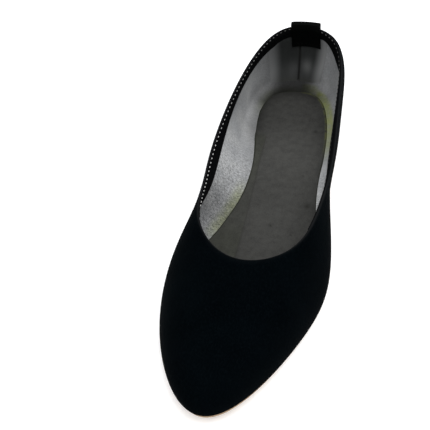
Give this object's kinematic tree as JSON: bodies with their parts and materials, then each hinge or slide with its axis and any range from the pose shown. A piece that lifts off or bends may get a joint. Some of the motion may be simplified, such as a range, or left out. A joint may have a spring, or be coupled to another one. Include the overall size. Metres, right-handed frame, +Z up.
{
  "type": "ballet slipper",
  "caption": "Low soft slip-on shoe for the left foot, with a wide foot opening, a stitched topline band, a heel pull loop and a thin flexing sole.",
  "frame": {"origin": "centre of the heel's tread face, on the ground", "axes": "+Z up, toe towards -Y, inner (big toe) side towards -X"},
  "size_m": [0.081, 0.2506, 0.0625],
  "materials": {
    "suede": "fine nap, matt, soft sheen at grazing angles",
    "lining_textile": "silver-grey non-woven, faint speckle",
    "sock_textile": "grey-brown microfibre, mottled",
    "grip_suede": "dark grey brushed textile",
    "binding_textile": "black woven tape",
    "light_thread": "off-white twisted thread",
    "dark_thread": "black thread",
    "ribbon": "black ribbed ribbon",
    "reinforcing_tape": "woven tape, hidden",
    "stiffener": "resin-stiffened non-woven, hidden",
    "foam": "soft foam, hidden",
    "insole_board": "pressed fibre board, hidden",
    "filler_felt": "felt, hidden",
    "shank_steel": "spring steel strip, hidden",
    "outsole_rubber": "tan, matt, fine tread grain",
    "heel_stack": "stacked board, stained edge",
    "top_piece_rubber": "matt, fine grain"
  },
  "bodies": {
    "rearfoot": {"outsole_backpart": "outsole_rubber", "heel_block": "heel_stack", "heel_top_piece": "top_piece_rubber", "shank": "shank_steel", "insole_board_backpart": "insole_board", "insole_pad_backpart": "foam", "sock": "sock_textile", "vamp_wings": "suede", "quarter_medial": "suede", "quarter_lateral": "suede", "quarter_lining_medial": "lining_textile", "quarter_lining_lateral": "lining_textile", "heel_counter": "stiffener", "topline_tape": "reinforcing_tape", "topline_band": "binding_textile", "topline_stitching": "light_thread", "heel_grip": "grip_suede", "pull_loop_legs": "ribbon", "loop_stitching": "dark_thread"},
    "forefoot": {"outsole_forepart": "outsole_rubber", "bottom_filler": "filler_felt", "insole_board_forepart": "insole_board", "insole_pad_forepart": "foam", "vamp": "suede", "toe_puff": "stiffener", "vamp_lining": "lining_textile"},
    "pull_loop": {"pull_loop": "ribbon"}
  },
  "joints": [
    {"name": "toe_flex", "type": "hinge", "parent": "rearfoot", "child": "forefoot", "pos_m": [0, -0.133, 0.0058], "axis": [-1, 0, 0], "range_deg": [0, 30], "stiffness_Nm_per_rad": 1.5, "deforming": ["vamp_wings", "vamp_lining", "sock", "topline_tape", "topline_band", "topline_stitching"]},
    {"name": "loop_fold", "type": "hinge", "parent": "rearfoot", "child": "pull_loop", "pos_m": [0.0017, 0.0264, 0.06], "axis": [1, 0, 0], "range_deg": [-45, 45], "stiffness_Nm_per_rad": 0.002}
  ]
}
